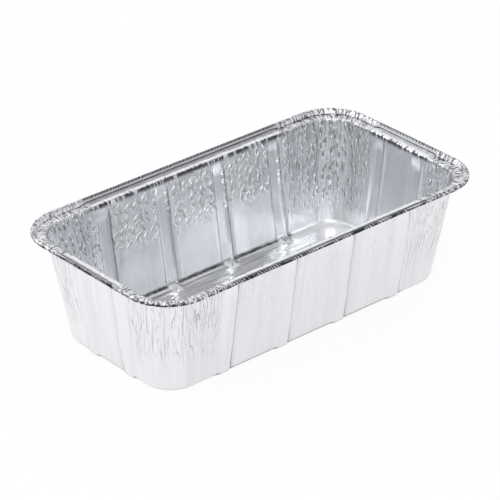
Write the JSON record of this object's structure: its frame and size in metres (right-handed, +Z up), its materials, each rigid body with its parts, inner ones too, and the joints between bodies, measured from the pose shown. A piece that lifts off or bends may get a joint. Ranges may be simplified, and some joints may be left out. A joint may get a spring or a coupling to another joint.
{
  "type": "foil loaf pan",
  "caption": "Rectangular loaf pan of thin pressed foil, with tapering fluted walls, gathered rounded corners and a flat rim with a curled edge.",
  "frame": {"origin": "middle of the flat underside, on the surface that the pan stands on", "axes": "+X along the pan's length, +Y across it, +Z up out of the mouth"},
  "size_m": [0.216, 0.117, 0.06],
  "materials": {
    "bare_foil": "bright rolled foil"
  },
  "bodies": {
    "root": {"loaf_pan": "bare_foil"}
  },
  "joints": []
}
